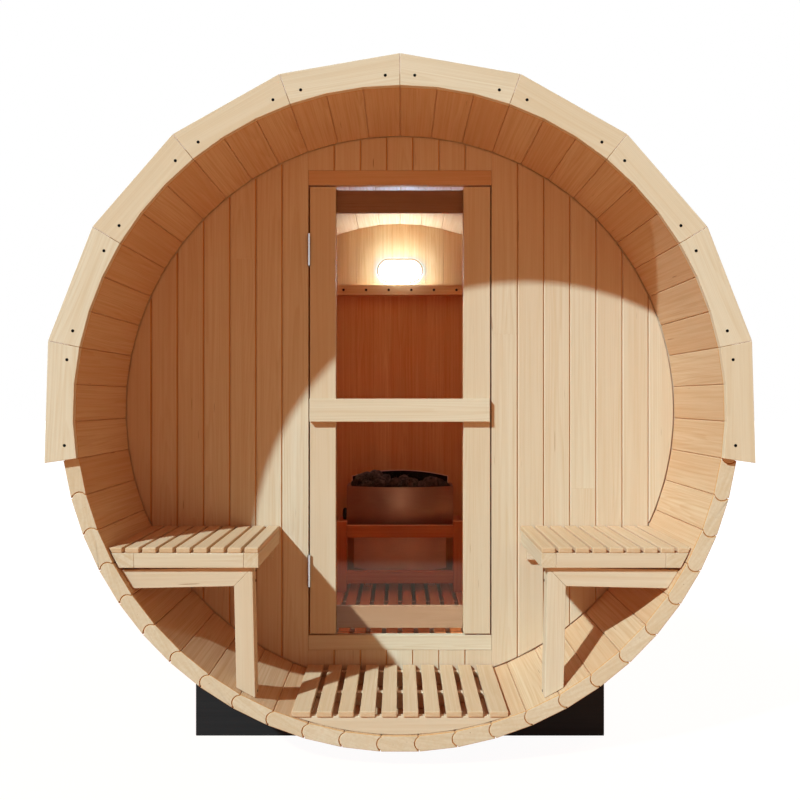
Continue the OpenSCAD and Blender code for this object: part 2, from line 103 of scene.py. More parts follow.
# %% Node helpers
def feed(tree, socket, value):
    """Joins a socket to another, or sets it to a plain value."""
    if isinstance(value, bpy.types.NodeSocket):
        tree.links.new(value, socket)
    elif value is not None:
        socket.default_value = value


def number(tree, operation, a, b=None, c=None):
    """One sum on numbers."""
    node = tree.nodes.new("ShaderNodeMath")
    node.operation = operation
    for socket, value in zip(node.inputs, (a, b, c)):
        feed(tree, socket, value)
    return node.outputs[0]


def arrow(tree, operation, a, b):
    """One sum on vectors."""
    node = tree.nodes.new("ShaderNodeVectorMath")
    node.operation = operation
    feed(tree, node.inputs[0], a)
    feed(tree, node.inputs[1], b)
    return node.outputs[0]


def ramp(tree, value, low, high, to_low=0.0, to_high=1.0):
    """A value that goes smoothly from to_low to to_high as the input goes from low to high."""
    node = tree.nodes.new("ShaderNodeMapRange")
    node.interpolation_type = "SMOOTHSTEP"
    names = ("Value", "From Min", "From Max", "To Min", "To Max")
    for name, amount in zip(names, (value, low, high, to_low, to_high)):
        feed(tree, node.inputs[name], amount)
    return node.outputs[0]


def tint(tree, factor, a, b, mode="MIX"):
    """Two colours mixed by a factor."""
    node = tree.nodes.new("ShaderNodeMix")
    node.data_type = "RGBA"
    node.blend_type = mode
    feed(tree, node.inputs[0], factor)
    feed(tree, node.inputs[6], a)
    feed(tree, node.inputs[7], b)
    return node.outputs[2]


def blend(tree, factor, a, b):
    """Two shaders mixed by a factor."""
    node = tree.nodes.new("ShaderNodeMixShader")
    for socket, value in zip(node.inputs, (factor, a, b)):
        feed(tree, socket, value)
    return node.outputs[0]


def cloud(tree, where, detail=2.0, roughness=0.5):
    """Soft noise, as a value and as a colour."""
    node = tree.nodes.new("ShaderNodeTexNoise")
    feed(tree, node.inputs["Vector"], where)
    set_values(node, Scale=1.0, Detail=detail, Roughness=roughness)
    return node.outputs[0], node.outputs[1]


def stretched(tree, where, stretch, detail=2.0, roughness=0.5):
    """The value of soft noise that is drawn out or squeezed along each axis."""
    return cloud(tree, arrow(tree, "MULTIPLY", where, stretch), detail, roughness)[0]


def bump_normal(tree, height, strength, depth):
    """A normal that follows a pattern of heights."""
    node = tree.nodes.new("ShaderNodeBump")
    set_values(node, Strength=strength, Distance=depth)
    feed(tree, node.inputs["Height"], height)
    return node.outputs["Normal"]


def new_finish(name):
    """A material with one Principled shader, its tree and that shader."""
    material = bpy.data.materials.new(name)
    material.use_nodes = True
    return material, material.node_tree, material.node_tree.nodes["Principled BSDF"]


def set_values(node, **values):
    """Sets inputs of a node. In the names, an underscore stands for a space."""
    for name, value in values.items():
        node.inputs[name.replace("_", " ")].default_value = value


def show(tree, output, surface):
    """Joins a shader to the output box of its tree."""
    tree.links.new(surface, tree.nodes[output].inputs["Surface"])


def srgb(red, green, blue):
    """A colour written as on a screen, 0 to 255, in the linear numbers that shaders use."""
    parts = []
    for part in (red / 255, green / 255, blue / 255):
        parts.append(part / 12.92 if part <= 0.04045 else ((part + 0.055) / 1.055) ** 2.4)
    return (*parts, 1.0)


print("helpers ready, mid grey is", round(srgb(128, 128, 128)[0], 3))

# %% [markdown]
# ## Light
#
# One sun stands high to the left, in front of the barrel. Its direction was read from the edge of the shade
# that the barrel throws on its own front wall. A little width, in degrees, softens that edge without losing
# it. A second, very wide sun shines softly from behind, and a weak red glow fills the cabin.
#
# The sky gives a low and warm fill, and is plain white where the camera or metal looks at it. The pane of the
# door is smoother than any metal here, so what it mirrors can be told apart: for those rays the sky is dark.

# %% Sun and sky
def add_lamp(name, kind, power, colour, travel=None):
    """A lamp in the scene. A sun is turned so that it shines along its travel."""
    data = bpy.data.lights.new(name, kind)
    data.energy = power
    data.color = colour
    lamp = bpy.data.objects.new(name, data)
    if travel:
        lamp.rotation_euler = Vector(travel).to_track_quat("-Z", "Y").to_euler()
    scene.collection.objects.link(lamp)
    return lamp


sun = add_lamp("sun", "SUN", 4.3, (0.772, 1.0, 1.07), (0.540, 0.567, -0.623))
sun.data.angle = math.radians(1.6)
sun.data.cycles.use_multiple_importance_sampling = False
back_light = add_lamp("back_light", "SUN", 2.2, (0.88, 1.0, 1.08), (-0.45, -0.70, -0.55))
back_light.data.angle = math.radians(50)
glow = add_lamp("heater_glow", "POINT", 1.9, (1.0, 0.14, 0.03))
glow.data.shadow_soft_size = 0.25
glow.location = (0.0, 0.20, 1.20)
glow.visible_camera = False
glow.visible_glossy = False
glow.visible_transmission = False


def white_to_sight(tree):
    """One where the camera, glass or metal looks, and nought for the rays that carry light."""
    path = tree.nodes.new("ShaderNodeLightPath").outputs
    seen = number(tree, "MAXIMUM", path["Is Camera Ray"], path["Is Glossy Ray"])
    seen = number(tree, "MAXIMUM", seen, path["Is Transmission Ray"])
    first = number(tree, "LESS_THAN", path["Diffuse Depth"], 0.5)
    return number(tree, "MULTIPLY", seen, first)


def mirrored(tree):
    """One for the rays that a smooth pane throws back, and nought for all others."""
    path = tree.nodes.new("ShaderNodeLightPath").outputs
    thrown_back = number(tree, "LESS_THAN", path["Is Transmission Ray"], 0.5)
    return number(tree, "MULTIPLY", path["Is Singular Ray"], thrown_back)


sky = bpy.data.worlds.new("sky")
sky.use_nodes = True
scene.world = sky
sky_tree = sky.node_tree
fill = sky_tree.nodes["Background"]
set_values(fill, Color=(1.0, 0.46, 0.24, 1), Strength=0.34)
backdrop = sky_tree.nodes.new("ShaderNodeBackground")
set_values(backdrop, Color=(1, 1, 1, 1))
dark_room = sky_tree.nodes.new("ShaderNodeBackground")
set_values(dark_room, Color=(0, 0, 0, 1))
sky_look = blend(sky_tree, white_to_sight(sky_tree), fill.outputs[0], backdrop.outputs[0])
sky_look = blend(sky_tree, mirrored(sky_tree), sky_look, dark_room.outputs[0])
show(sky_tree, "World Output", sky_look)
print("sun", round(sun.data.energy, 2), "sky", round(fill.inputs["Strength"].default_value, 2))

# %% [markdown]
# ## The floor
#
# The floor is a wide pale disc under the cradles. Its material is a warm paint, mixed with plain white for
# the rays that look at it. The mix leaves a faint shadow under the barrel and hides the line where the floor
# would meet the sky. The pane mirrors only the floor close by, which is the pale veil low on the glass.

# %% Floor
floor_bm = bmesh.new()
bmesh.ops.create_circle(floor_bm, cap_ends=True, cap_tris=False, segments=96, radius=40.0)
floor_mesh = bpy.data.meshes.new("floor")
floor_bm.to_mesh(floor_mesh)
floor_bm.free()
floor = bpy.data.objects.new("floor", floor_mesh)
scene.collection.objects.link(floor)

floor_paint, floor_tree, paint = new_finish("floor_paint")
set_values(paint, Base_Color=(0.60, 0.28, 0.13, 1), Roughness=0.9, Specular_IOR_Level=0.1)
plain_white = floor_tree.nodes.new("ShaderNodeEmission")
set_values(plain_white, Strength=1.2)
dark_floor = floor_tree.nodes.new("ShaderNodeEmission")
set_values(dark_floor, Strength=0.0)
floor_reach = floor_tree.nodes.new("ShaderNodeVectorMath")
floor_reach.operation = "LENGTH"
floor_place = floor_tree.nodes.new("ShaderNodeTexCoord")
floor_tree.links.new(floor_place.outputs["Object"], floor_reach.inputs[0])
white_share = ramp(floor_tree, floor_reach.outputs["Value"], 1.2, 3.6, 0.80, 1.0)
white_share = number(floor_tree, "MULTIPLY", white_to_sight(floor_tree), white_share)
floor_look = blend(floor_tree, white_share, paint.outputs[0], plain_white.outputs[0])
far_off = ramp(floor_tree, floor_reach.outputs["Value"], 2.75, 3.05)
unseen = number(floor_tree, "MULTIPLY", mirrored(floor_tree), far_off)
floor_look = blend(floor_tree, unseen, floor_look, dark_floor.outputs[0])
show(floor_tree, "Material Output", floor_look)
floor_mesh.materials.append(floor_paint)
print("floor", len(floor_mesh.vertices), "corners")

# %% [markdown]
# ## How a pine board gets its figure
#
# A tree is a stack of cones, and a board is cut from it. So the pattern isn't painted on faces: it is a solid
# one. Each board carries three numbers a point, stored as an attribute called "grain": how far along the
# board the point is, and where it lies across the trunk. Rings round the middle of the trunk then show as
# long stripes on the faces and as arcs on the ends, which is how one tells real timber from a print.
#
# On top of the rings come slow waves, streaks a few millimetres wide, fine fibres and rare dark dashes of
# resin. A second attribute, "tone", makes each board a little different from its neighbour, and a third,
# "end", marks sawn ends, which drink light.


# %% The figure of the boards
def figure_sockets(group):
    """The named inputs and outputs of the group."""
    kinds = {"V": "NodeSocketVector", "F": "NodeSocketFloat", "C": "NodeSocketColor"}
    inputs = (("Grain", "V"), ("Tone", "F"), ("End", "F"), ("Early", "C"), ("Late", "C"), ("Flush", "C"))
    outputs = (("Color", "C"), ("Roughness", "F"), ("Height", "F"))
    for way, sockets in (("INPUT", inputs), ("OUTPUT", outputs)):
        for name, kind in sockets:
            group.interface.new_socket(name=name, in_out=way, socket_type=kinds[kind])


ring_width = 0.0021


def growth_rings(tree, grain):
    """The dark late part of each year's ring, from nought to one."""
    slow = cloud(tree, arrow(tree, "MULTIPLY", grain, (0.9, 6.0, 6.0)))[1]
    waver = arrow(tree, "SUBTRACT", slow, (0.5, 0.5, 0.5))
    waver = arrow(tree, "MULTIPLY", waver, (0.0, 0.018, 0.018))
    bent = tree.nodes.new("ShaderNodeSeparateXYZ")
    tree.links.new(arrow(tree, "ADD", grain, waver), bent.inputs[0])
    across = number(tree, "MULTIPLY", bent.outputs[1], bent.outputs[1])
    reach = number(tree, "SQRT", number(tree, "MULTIPLY_ADD", bent.outputs[2], bent.outputs[2], across))
    reach = number(tree, "MULTIPLY_ADD", bent.outputs[0], 0.004, reach)
    years = number(tree, "DIVIDE", reach, ring_width)
    lean_years = stretched(tree, grain, (0.3, 60.0, 60.0), 1.0)
    years = number(tree, "MULTIPLY_ADD", lean_years, 1.6, years)
    phase = number(tree, "FRACT", years)
    rise = ramp(tree, phase, 0.30, 0.90)
    fall = ramp(tree, phase, 0.92, 1.0, 1.0, 0.0)
    return number(tree, "MULTIPLY", rise, fall)


figure = bpy.data.node_groups.new("pine_figure", "ShaderNodeTree")
figure_sockets(figure)
took = figure.nodes.new("NodeGroupInput")
gave = figure.nodes.new("NodeGroupOutput")
grain = took.outputs["Grain"]
rings = growth_rings(figure, grain)
streak = ramp(figure, stretched(figure, grain, (2.4, 130.0, 130.0), 3.0, 0.6), 0.34, 0.70)
broad = ramp(figure, stretched(figure, grain, (0.7, 20.0, 20.0)), 0.32, 0.68)
fibre = stretched(figure, grain, (16.0, 900.0, 900.0), 1.0)
dash = ramp(figure, stretched(figure, grain, (9.0, 210.0, 210.0), 0.0), 0.845, 0.89)

lateness = number(figure, "MULTIPLY", rings, 0.20)
lateness = number(figure, "MULTIPLY_ADD", streak, 0.34, lateness)
lateness = number(figure, "MULTIPLY_ADD", fibre, 0.14, lateness)
wood = tint(figure, lateness, took.outputs["Early"], took.outputs["Late"])
warmth = number(figure, "MULTIPLY", took.outputs["Tone"], 0.80)
warmth = number(figure, "MULTIPLY_ADD", broad, 0.40, warmth)
wood = tint(figure, warmth, wood, tint(figure, 0.5, wood, took.outputs["Flush"]))
dark = tint(figure, 1.0, took.outputs["Late"], (0.34, 0.16, 0.09, 1), "MULTIPLY")
wood = tint(figure, number(figure, "MULTIPLY", dash, 0.6), wood, dark)
layers = ramp(figure, stretched(figure, grain, (3.0, 9.0, 150.0), 3.0, 0.6), 0.34, 0.68)
end_tint = number(figure, "MULTIPLY_ADD", layers, 0.50, 0.02)
end_tint = number(figure, "MULTIPLY", end_tint, took.outputs["End"])
wood = tint(figure, end_tint, wood, took.outputs["Late"])
figure.links.new(wood, gave.inputs["Color"])
rough = number(figure, "MULTIPLY_ADD", streak, 0.10, 0.52)
rough = number(figure, "MULTIPLY_ADD", took.outputs["End"], 0.15, rough)
figure.links.new(rough, gave.inputs["Roughness"])
relief = number(figure, "MULTIPLY_ADD", fibre, 0.8, number(figure, "MULTIPLY", rings, 0.5))
relief = number(figure, "MULTIPLY_ADD", dash, -0.8, relief)
figure.links.new(relief, gave.inputs["Height"])
print("figure:", len(figure.nodes), "nodes")

# %% [markdown]
# ## The wood finishes
#
# All the timber is one kind of pine with no varnish, so it is nearly matt. The staves are a warm straw
# colour, and the trim, the slats and the handle are paler. Sawn edges in a joint are browner, and on the
# walls that browner finish also lies on the side of each V that faces away from the sun, which is painted
# shade. The floor slats and the heater's guard in the cabin are darker and redder, which is painted shade
# too. The cradles are stained black, which leaves only a trace of the rings. Every finish uses the same
# figure with other
# colours: for early wood, for late wood and for a board's own flush.
#
# Light that goes from board to board gets redder each time, because it also sinks into the wood a little. A
# surface shader can't do that, so the light path says how often a ray has bounced, and the colour follows.


# %% Wood finishes
first_bounce = (1.02, 1.0, 0.92, 1)
later_bounce = (1.30, 0.54, 0.30, 1)


def board_attribute(tree, name, output):
    """A number or vector that a board carries under a name."""
    node = tree.nodes.new("ShaderNodeAttribute")
    node.attribute_name = name
    return node.outputs[output]


def wood_finish(name, early, late, flush, relief_depth=0.0004, gloss=0.08):
    """A material of pine in three colours, written as on a screen."""
    material, tree, shader = new_finish(name)
    board = tree.nodes.new("ShaderNodeGroup")
    board.node_tree = figure
    for socket, value in (
        ("Grain", board_attribute(tree, "grain", "Vector")),
        ("Tone", board_attribute(tree, "tone", "Fac")),
        ("End", board_attribute(tree, "end", "Fac")),
        ("Early", srgb(*early)),
        ("Late", srgb(*late)),
        ("Flush", srgb(*flush)),
    ):
        feed(tree, board.inputs[socket], value)
    own_colour = board.outputs["Color"]
    passed_on = tint(tree, 1.0, own_colour, first_bounce, "MULTIPLY")
    passed_twice = tint(tree, 1.0, own_colour, later_bounce, "MULTIPLY")
    light_path = tree.nodes.new("ShaderNodeLightPath")
    later = number(tree, "GREATER_THAN", light_path.outputs["Diffuse Depth"], 1.5)
    colour = tint(tree, later, passed_on, passed_twice)
    colour = tint(tree, light_path.outputs["Is Diffuse Ray"], own_colour, colour)
    feed(tree, shader.inputs["Base Color"], colour)
    feed(tree, shader.inputs["Roughness"], board.outputs["Roughness"])
    relief_normal = bump_normal(tree, board.outputs["Height"], 0.35, relief_depth)
    feed(tree, shader.inputs["Normal"], relief_normal)
    set_values(shader, Specular_IOR_Level=gloss)
    return material


pine = wood_finish("pine", (217, 209, 187), (194, 170, 131), (202, 177, 144))
stave_pine = wood_finish("stave_pine", (218, 196, 162), (183, 139, 95), (195, 149, 105))
pale_pine = wood_finish("pale_pine", (218, 210, 188), (197, 175, 139), (204, 183, 150))
slat_pine = wood_finish("slat_pine", (212, 191, 161), (192, 159, 118), (199, 167, 128))
back_pine = wood_finish("back_pine", (230, 208, 162), (182, 136, 80), (194, 146, 90))
# Browner pine for dark joints. On the walls it also paints the shade on one side of each V.
joint_and_shade_pine = wood_finish("joint_and_shade_pine", (206, 164, 112), (182, 128, 78), (190, 136, 86))
rail_pine = wood_finish("rail_pine", (188, 178, 166), (164, 144, 120), (170, 150, 128))
# Painted shade: the same pine made darker and redder for the cabin's floor slats and the heater's guard,
# which stand in the cabin's shade.
cabin_shade_pine = wood_finish("cabin_shade_pine", (216, 158, 106), (176, 104, 56), (182, 108, 60))
black_stain = wood_finish("black_stain", (43, 44, 45), (31, 32, 33), (35, 35, 37), 0.0006, 0.06)
print("materials so far:", [material.name for material in bpy.data.materials])

# %% [markdown]
# ## Boards from solids
#
# A CAD solid arrives as loose triangles. A copy is merged, and its flat faces are joined into single faces,
# so that only real edges are left. A planer never leaves a knife edge, so those edges are eased with a small
# bevel, which catches a thin line of light. Then each separate board gets its grain. The longest edge of a
# board shows which way it was sawn, and the widest direction across that is its face.


# %% Copying, easing and finishing
level, inward, upright = Vector((1, 0, 0)), Vector((0, 1, 0)), Vector((0, 0, 1))


def copy_of(node):
    """A merged copy of a CAD node's mesh, with its flat faces joined and shaded flat."""
    bm = bmesh.new()
    bm.from_mesh(frame["nodes"][node].data)
    for face in bm.faces:
        face.smooth = False
    bmesh.ops.remove_doubles(bm, verts=bm.verts, dist=1e-5)
    bmesh.ops.dissolve_limit(bm, angle_limit=math.radians(0.6), verts=bm.verts, edges=bm.edges)
    return bm


def sharp_edges(bm, least=35):
    """The outward edges of a mesh that turn by more than this many degrees."""
    found = []
    for edge in bm.edges:
        if edge.is_manifold and edge.is_convex and edge.calc_face_angle() > math.radians(least):
            found.append(edge)
    return found


def ease(bm, edges, width, segments=2, clamp=True):
    """Rounds edges off. The clamp keeps all bevels of a mesh as narrow as its tightest place allows."""
    bmesh.ops.bevel(
        bm,
        geom=list(edges),
        offset=width,
        offset_type="OFFSET",
        affect="EDGES",
        segments=segments,
        profile=0.5,
        material=-1,
        clamp_overlap=clamp,
        loop_slide=True,
    )


def cut_across(bm, place, outward, clear_outer=False):
    """Cuts a mesh by a plane. What lies in front of the plane may be cleared away."""
    everything = bm.verts[:] + bm.edges[:] + bm.faces[:]
    bmesh.ops.bisect_plane(bm, geom=everything, plane_co=place, plane_no=outward, clear_outer=clear_outer)


def finish_piece(bm, name, body, finishes, slot, *nodes):
    """Makes the object, hangs it on its body and hides the CAD nodes that it stands for."""
    mesh = bpy.data.meshes.new(name)
    bm.normal_update()
    bm.to_mesh(mesh)
    bm.free()
    if "custom_normal" in mesh.attributes:
        mesh.attributes.remove(mesh.attributes["custom_normal"])
    for finish in finishes:
        mesh.materials.append(finish)
    piece = bpy.data.objects.new(name, mesh)
    scene.collection.objects.link(piece)
    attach(piece, body)
    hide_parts(*nodes)
    mesh.calc_loop_triangles()
    print(name, "triangles:", len(mesh.loop_triangles))


# %% Finding boards and laying their grain
saw_dice = random.Random(55)
pith_spans = ((-9, 9), (-0.05, 0.05), (0.035, 0.16))


def boards_in(bm):
    """The separate boards of a mesh, each as a list of vertices."""
    seen = set()
    boards = []
    for start in bm.verts:
        if start in seen:
            continue
        seen.add(start)
        reached = [start]
        for vert in reached:
            for edge in vert.link_edges:
                other = edge.other_vert(vert)
                if other not in seen:
                    seen.add(other)
                    reached.append(other)
        boards.append(reached)
    return boards


def saw_axes(board, along):
    """Three directions of a board: along it, across its face and through it."""
    if along is None:
        edges = [edge for vert in board for edge in vert.link_edges]
        longest = max(edges, key=lambda edge: edge.calc_length())
        along = (longest.verts[1].co - longest.verts[0].co).normalized()
    side = along.orthogonal().normalized()
    best = None
    for step in range(24):
        turned = Matrix.Rotation(math.pi * step / 24, 3, along) @ side
        reach = [vert.co.dot(turned) for vert in board]
        width = max(reach) - min(reach)
        if best is None or width > best[0]:
            best = (width, turned)
    return along, best[1], along.cross(best[1])


def lay_grain(bm, along=None):
    """Writes each point's place in its own board, a tone a board, and which faces are sawn ends."""
    grain_layer = bm.verts.layers.float_vector.new("grain")
    tone_layer = bm.verts.layers.float.new("tone")
    end_layer = bm.faces.layers.float.new("end")
    bm.normal_update()
    boards = boards_in(bm)
    for board in boards:
        axes = saw_axes(board, along)
        middle = sum((vert.co for vert in board), Vector()) / len(board)
        pith = Vector([saw_dice.uniform(*span) for span in pith_spans])
        tone = saw_dice.random()
        for vert in board:
            offset = vert.co - middle
            vert[grain_layer] = pith + Vector([offset.dot(axis) for axis in axes])
            vert[tone_layer] = tone
            for face in vert.link_faces:
                face[end_layer] = 1.0 if abs(face.normal.dot(axes[0])) > 0.8 else 0.0
    return len(boards)


def board_piece(node, name, body, finish, slot, width, segments=2, along=None, spare=0.0):
    """A CAD node's boards with eased edges and grain. A spare width is added on the right."""
    bm = copy_of(node)
    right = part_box(node)[1].x
    for vert in bm.verts:
        if vert.co.x > right - 1e-4:
            vert.co.x += spare
    ease(bm, sharp_edges(bm), width, segments)
    lay_grain(bm, along)
    finish_piece(bm, name, body, [finish], slot, node)


print("a sample of the saw's dice:", round(random.Random(55).random(), 3))

# %% [markdown]
# ## The staves
#
# Fifty-five staves make the barrel. Each has a rounded bead on one edge and a hollow on the other, so that
# they nest at any angle. Their inner corners are eased, and so is the lip of the groove that holds each wall,
# which is the thin dark line that runs round the wall in the photograph. The ends are rounded over. There a
# little is taken off the hollow, which leaves a fine groove, an arc, round the next stave's bead.

# %% Staves
barrel_axis = Vector((0.0, 0.0, 0.955))
stave_inside = 0.861
stave_outside = 0.896
inner_slot = 0.0017
outer_slot = 0.0010
stave_end = 0.900
groove_width = 0.0020
groove_depth = 0.0028
end_round = 0.0024
corner_ease = 0.0006
end_grain_from = 0.8971


def axis_distance(point):
    """How far a point is from the middle line of the barrel."""
    return math.hypot(point.x - barrel_axis.x, point.z - barrel_axis.z)


def edge_middle(edge):
    return (edge.verts[0].co + edge.verts[1].co) / 2


def runs_along(edge):
    """Whether an edge runs along the barrel."""
    return abs(edge.verts[0].co.y - edge.verts[1].co.y) > 0.005


def stave_axes(stave):
    """The middle of a stave's inner face and the direction across the stave."""
    corners = [vert.co for vert in stave if axis_distance(vert.co) < stave_inside]
    middle = sum(corners, Vector()) / len(corners)
    outward = Vector((middle.x, 0, middle.z - barrel_axis.z)).normalized()
    return middle, Vector((outward.z, 0, -outward.x))


def open_stave_joints(bm):
    """Leans the corners of each stave back, inside and outside, so that a thin dark line parts two staves."""
    for stave in boards_in(bm):
        middle, across = stave_axes(stave)
        for vert in stave:
            reach = axis_distance(vert.co)
            side = 1 if (vert.co - middle).dot(across) > 0 else -1
            if reach < stave_inside:
                vert.co -= across * side * inner_slot
            elif reach > stave_outside:
                vert.co -= across * side * outer_slot


def hollow_side(stave):
    """The middle of a stave and the direction across it to the side that is hollowed."""
    middle, across = stave_axes(stave)
    votes = 0
    for vert in stave:
        for edge in vert.link_edges:
            inward_edge = edge.is_manifold and not edge.is_convex
            if runs_along(edge) and inward_edge and edge.calc_face_angle() < 0.5:
                votes += 1 if (edge.verts[0].co - middle).dot(across) > 0 else -1
    return middle, across * (1 if votes > 0 else -1)


def trim_hollows(bm):
    """Takes a little off the hollow edges at both ends, which leaves a groove round the next stave's bead."""
    for end in (-1, 1):
        cut_across(bm, inward * end * (stave_end - groove_depth), inward)
    for stave in boards_in(bm):
        middle, hollow = hollow_side(stave)
        for vert in stave:
            if abs(vert.co.y) > stave_end - 1e-4 and (vert.co - middle).dot(hollow) > 0:
                vert.co -= hollow * groove_width


def stave_ends(bm):
    """The end rims of the staves, without those of the hollow edges, whose lips are too thin to round off."""
    found = []
    for stave in boards_in(bm):
        middle, hollow = hollow_side(stave)
        for edge in dict.fromkeys(edge for vert in stave for edge in vert.link_edges):
            place = edge_middle(edge)
            if abs(place.y) < stave_end - 0.001 or not edge.is_manifold or edge.calc_face_angle() < 0.6:
                continue
            reach = axis_distance(place)
            on_flat = reach < stave_inside or reach > stave_outside
            if on_flat or (place - middle).dot(hollow) < 0:
                found.append(edge)
    return found


def stave_edges(bm):
    """The long corners outside, and inside the long corners and the lips of the wall grooves."""
    outer, inner = [], []
    for edge in sharp_edges(bm):
        middle = edge_middle(edge)
        reach = axis_distance(middle)
        if abs(middle.y) > stave_end - 0.004:
            continue
        if reach < stave_inside:
            inner.append(edge)
        elif runs_along(edge) and reach > stave_outside:
            outer.append(edge)
    return outer, inner


for place in ("bottom", "left_lower", "left_upper", "right_upper", "right_lower"):
    node = place + "_staves"
    bm = copy_of(node)
    open_stave_joints(bm)
    trim_hollows(bm)
    ease(bm, stave_ends(bm), end_round, 3, clamp=False)
    outer, inner = stave_edges(bm)
    ease(bm, outer + inner, corner_ease, 1)
    print(node, "staves:", lay_grain(bm, inward))
    for face in bm.faces:
        reach = abs(face.calc_center_median().y)
        small = face.calc_area() < 0.0002 and abs(face.normal.y) < 0.75
        groove = small and reach > stave_end - groove_depth
        face.material_index = 2 if groove else 1 if reach > end_grain_from else 0
    finishes = [stave_pine, pale_pine, joint_and_shade_pine]
    finish_piece(bm, place + "_stave_boards", "barrel", finishes, "pine", node)

# %% [markdown]
# ## The walls
#
# Both walls are upright boards, 82 mm apart, with a small V where two meet. In CAD a wall is one plate. Here
# each board is a copy of the plate that is cut by planes: one plane at each side, and two more that take the
# corners of that side off. Every cut is closed at once, so a board stays a solid. A hair's gap is left
# between two boards, and a loose tongue in it keeps the light out. A few boards are glued up from two
# lengths, which shows as a fine level seam, and each length has its own grain.

# %% Cutting boards out of a wall
board_pitch = 0.082
seam_bevel = 0.0004
tongue_reach = 0.005
tongue_depth = 0.010


def slice_off(bm, place, outward):
    """Keeps what lies behind a plane and closes the cut."""
    cut_across(bm, place, outward, clear_outer=True)
    open_edges = [edge for edge in bm.edges if edge.is_boundary]
    bmesh.ops.holes_fill(bm, edges=open_edges)
    bmesh.ops.recalc_face_normals(bm, faces=bm.faces)


def edge_planes(node, place, outward, bevel):
    """The planes that cut a board square at one side and take the two corners of that side off."""
    front, back = (corner.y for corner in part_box(node))
    planes = [(place, outward)]
    for skin, facing in ((front, -inward), (back, inward)):
        corner = place - outward * bevel
        corner.y = skin
        planes.append((corner, (outward + facing).normalized()))
    return planes


def board_planes(node, left, right, low, high, bevel, gap):
    """All planes round one board, or one length of it. An edge of the plate itself isn't cut."""
    box_low, box_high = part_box(node)
    planes = []
    for x, outward in ((left, -level), (right, level)):
        if box_low.x + 0.001 < x < box_high.x - 0.001:
            planes += edge_planes(node, level * x - outward * gap, outward, bevel)
    for z, outward in ((low, -upright), (high, upright)):
        if z is not None:
            planes += edge_planes(node, upright * z, outward, seam_bevel)
    return planes


def tongue_planes(node, x):
    """The planes round the loose tongue in a joint."""
    front, back = (corner.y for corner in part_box(node))
    planes = [(level * (x + tongue_reach * side), level * side) for side in (-1, 1)]
    planes.append((inward * (front + tongue_depth), -inward))
    planes.append((inward * (back - tongue_depth), inward))
    return planes


def wall_of_boards(node, name, joints, seams, finish, joint_and_shade_finish, bevel, gap):
    """All boards of a wall in one mesh. seams gives the height of the seam in a board, by its number."""
    cuts = []
    for i in range(len(joints) - 1):
        heights = [None, seams[i], None] if i in seams else [None, None]
        for low, high in zip(heights, heights[1:]):
            cuts.append(board_planes(node, joints[i], joints[i + 1], low, high, bevel, gap))
    cuts += [tongue_planes(node, x) for x in joints[1:-1]]
    wall = bmesh.new()
    for planes in cuts:
        board = copy_of(node)
        for place, outward in planes:
            slice_off(board, place, outward)
        passing = bpy.data.meshes.new("passing")
        board.to_mesh(passing)
        board.free()
        wall.from_mesh(passing)
        bpy.data.meshes.remove(passing)
    print(name, "boards and tongues:", lay_grain(wall, upright))
    # Faces that turn to the right get the second finish. In the gap and on the tongue that is a dark joint.
    # On the V it is painted shade, because the sun comes from the left and leaves that side of each V in
    # shade.
    for face in wall.faces:
        face.material_index = 1 if face.normal.x > 0.3 else 0
    finish_piece(wall, name, "barrel", [finish, joint_and_shade_finish], "pine", node)


# %% Walls
doorway_joint = 0.287
v_bevel, board_gap = 0.0030, 0.0004
back_bevel, back_gap = 0.0012, 0.0001
side_joints = [doorway_joint + board_pitch * i for i in range(7)]
left_joints = sorted([-x for x in side_joints] + [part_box("front_wall_left")[0].x])
right_joints = [-x for x in reversed(left_joints)]
door_joints = [board_pitch * (i - 3.5) for i in range(8)]
back_joints = [board_pitch * (i - 10.5) for i in range(22)]
back_joints[0], back_joints[-1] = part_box("back_wall")[0].x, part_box("back_wall")[1].x

for node, joints, seams in (
    ("front_wall_left", left_joints, {2: 0.62, 4: 1.43}),
    ("front_wall_right", right_joints, {0: 1.194, 3: 0.71}),
    ("front_wall_over_door", door_joints, {}),
    ("front_wall_under_door", door_joints, {}),
):
    wall_of_boards(node, node + "_boards", joints, seams, pine, joint_and_shade_pine, v_bevel, board_gap)
back_seams = {5: 0.66, 9: 1.21, 14: 0.48, 17: 1.35}
back_finish = (back_pine, back_pine, back_bevel, back_gap)
wall_of_boards("back_wall", "back_wall_boards", back_joints, back_seams, *back_finish)

# %% [markdown]
# ## Plain boards and rails
#
# The rest of the timber is boards that keep their CAD shape. The slats are rounded the most, because people
# sit and walk on them. Rails, legs and the door's frame get a smaller radius. The mitres of the trim show as
# fine lines, and the door's free stile is a little wider than its solid, as its gap is in the photograph.

# %% Slats, rails and frames
stile_spare = 0.0025
plain_ease = 0.0012
mitre_lean = 0.0002
for node, width, finish in (
    ("porch_floor_slats", 0.0022, slat_pine),
    # The cabin's slats get the painted-shade finish.
    ("cabin_floor_slats", 0.0022, cabin_shade_pine),
    ("left_bench_seat", 0.0030, slat_pine),
    ("right_bench_seat", 0.0030, slat_pine),
):
    board_piece(node, node + "_boards", "barrel", finish, "pale_pine", width, 3)


def lean_ends(bm, face_y, amount):
    """Leans the ends of boards back at one face, so that a thin dark line parts two boards."""
    for board in boards_in(bm):
        along = saw_axes(board, None)[0]
        faces = dict.fromkeys(face for vert in board for face in vert.link_faces)
        for face in [face for face in faces if abs(face.normal.dot(along)) > 0.8]:
            lean = face.normal * amount
            for vert in face.verts:
                if abs(vert.co.y - face_y) < 1e-4:
                    vert.co -= lean


